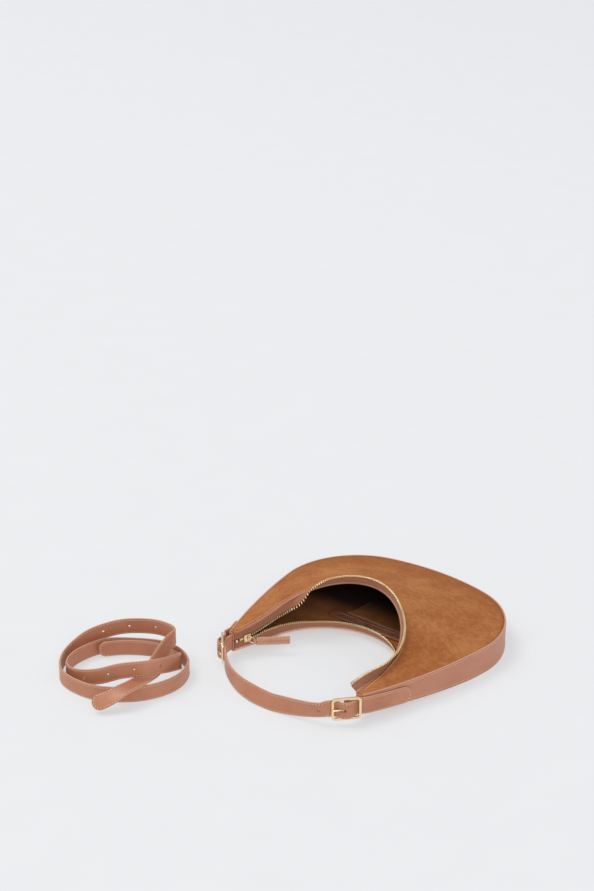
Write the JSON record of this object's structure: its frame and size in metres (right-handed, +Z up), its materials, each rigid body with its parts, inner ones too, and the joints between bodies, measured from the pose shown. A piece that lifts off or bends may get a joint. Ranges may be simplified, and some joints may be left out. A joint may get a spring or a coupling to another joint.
{
  "type": "half moon shoulder bag",
  "caption": "Open half moon shoulder bag lying on its back, with a curved zipped mouth, a buckled short strap and a second long strap coiled beside it.",
  "frame": {"origin": "middle of the gusset's lower edge at the belly, on the floor", "axes": "+Y out of the belly, away from the mouth; +Z up from the back panel to the front panel; +X towards the right horn"},
  "size_m": [0.3942, 0.4703, 0.086],
  "materials": {
    "suede": "napped suede, matt",
    "leather": "smooth, satin",
    "lining": "soft, matt",
    "zip_tape": "woven",
    "pale_gold": "polished pale gold plating"
  },
  "bodies": {
    "bag": {"front_panel": "suede", "back_panel": "suede", "gusset": "leather", "front_lining": "lining", "back_lining": "lining", "gusset_lining": "lining", "front_binding": "leather", "back_binding": "leather", "front_zip_tape": "zip_tape", "back_zip_tape": "zip_tape", "front_zip_teeth": "pale_gold", "back_zip_teeth": "pale_gold", "bottom_stop": "pale_gold", "top_stops": "pale_gold", "left_anchor": "leather", "right_anchor": "leather", "shoulder_strap": "leather", "pocket_frame": "leather", "pocket_tape": "zip_tape", "pocket_teeth": "pale_gold", "pocket_pouch": "lining", "slip_pocket": "lining", "slip_trim": "leather"},
    "slider": {"zip_slider": "pale_gold"},
    "puller": {"zip_puller": "pale_gold"},
    "pull_tab": {"zip_pull_tab": "leather"},
    "left_frame": {"left_buckle": "pale_gold"},
    "right_frame": {"right_buckle": "pale_gold"},
    "left_tongue": {"left_prong": "pale_gold"},
    "right_tongue": {"right_prong": "pale_gold"},
    "pocket_slide": {"pocket_slider": "pale_gold"},
    "pocket_pull": {"pocket_puller": "pale_gold"},
    "loose_strap": {"long_strap": "leather"}
  },
  "joints": [
    {"name": "zip_slide", "type": "slide", "parent": "bag", "child": "slider", "axis": [0.2584, 0.966, 0], "range_m": [0, 0.005]},
    {"name": "puller_swing", "type": "hinge", "parent": "slider", "child": "puller", "pos_m": [-0.09431, -0.25847, 0.02175], "axis": [0, 0, 1], "range_deg": [-80, 18]},
    {"name": "tab_swing", "type": "hinge", "parent": "puller", "child": "pull_tab", "pos_m": [-0.08883, -0.25335, 0.01755], "axis": [0, 0, 1], "range_deg": [-46, 12]},
    {"name": "left_buckle_turn", "type": "hinge", "parent": "bag", "child": "left_frame", "pos_m": [-0.105, -0.29287, 0.02075], "axis": [0, 0, 1], "range_deg": [-2, 2]},
    {"name": "right_buckle_turn", "type": "hinge", "parent": "bag", "child": "right_frame", "pos_m": [0.08972, -0.3077, 0.02075], "axis": [0, 0, 1], "range_deg": [-2, 2]},
    {"name": "left_prong_lift", "type": "hinge", "parent": "left_frame", "child": "left_tongue", "pos_m": [-0.105, -0.29287, 0.02075], "axis": [0, 0, -1], "range_deg": [0, 6]},
    {"name": "right_prong_lift", "type": "hinge", "parent": "right_frame", "child": "right_tongue", "pos_m": [0.08972, -0.3077, 0.02075], "axis": [0, 0, 1], "range_deg": [0, 6]},
    {"name": "pocket_slide", "type": "slide", "parent": "bag", "child": "pocket_slide", "axis": [-1, 0, 0], "range_m": [0, 0.111]},
    {"name": "pocket_puller_swing", "type": "hinge", "parent": "pocket_slide", "child": "pocket_pull", "pos_m": [0.05565, -0.12814, 0.01149], "axis": [0, -0.9889, 0.1486], "range_deg": [0, 178]},
    {"name": "loose_strap_lift", "type": "slide", "parent": "bag", "child": "loose_strap", "axis": [0, 0, 1], "range_m": [0, 0.25]}
  ]
}
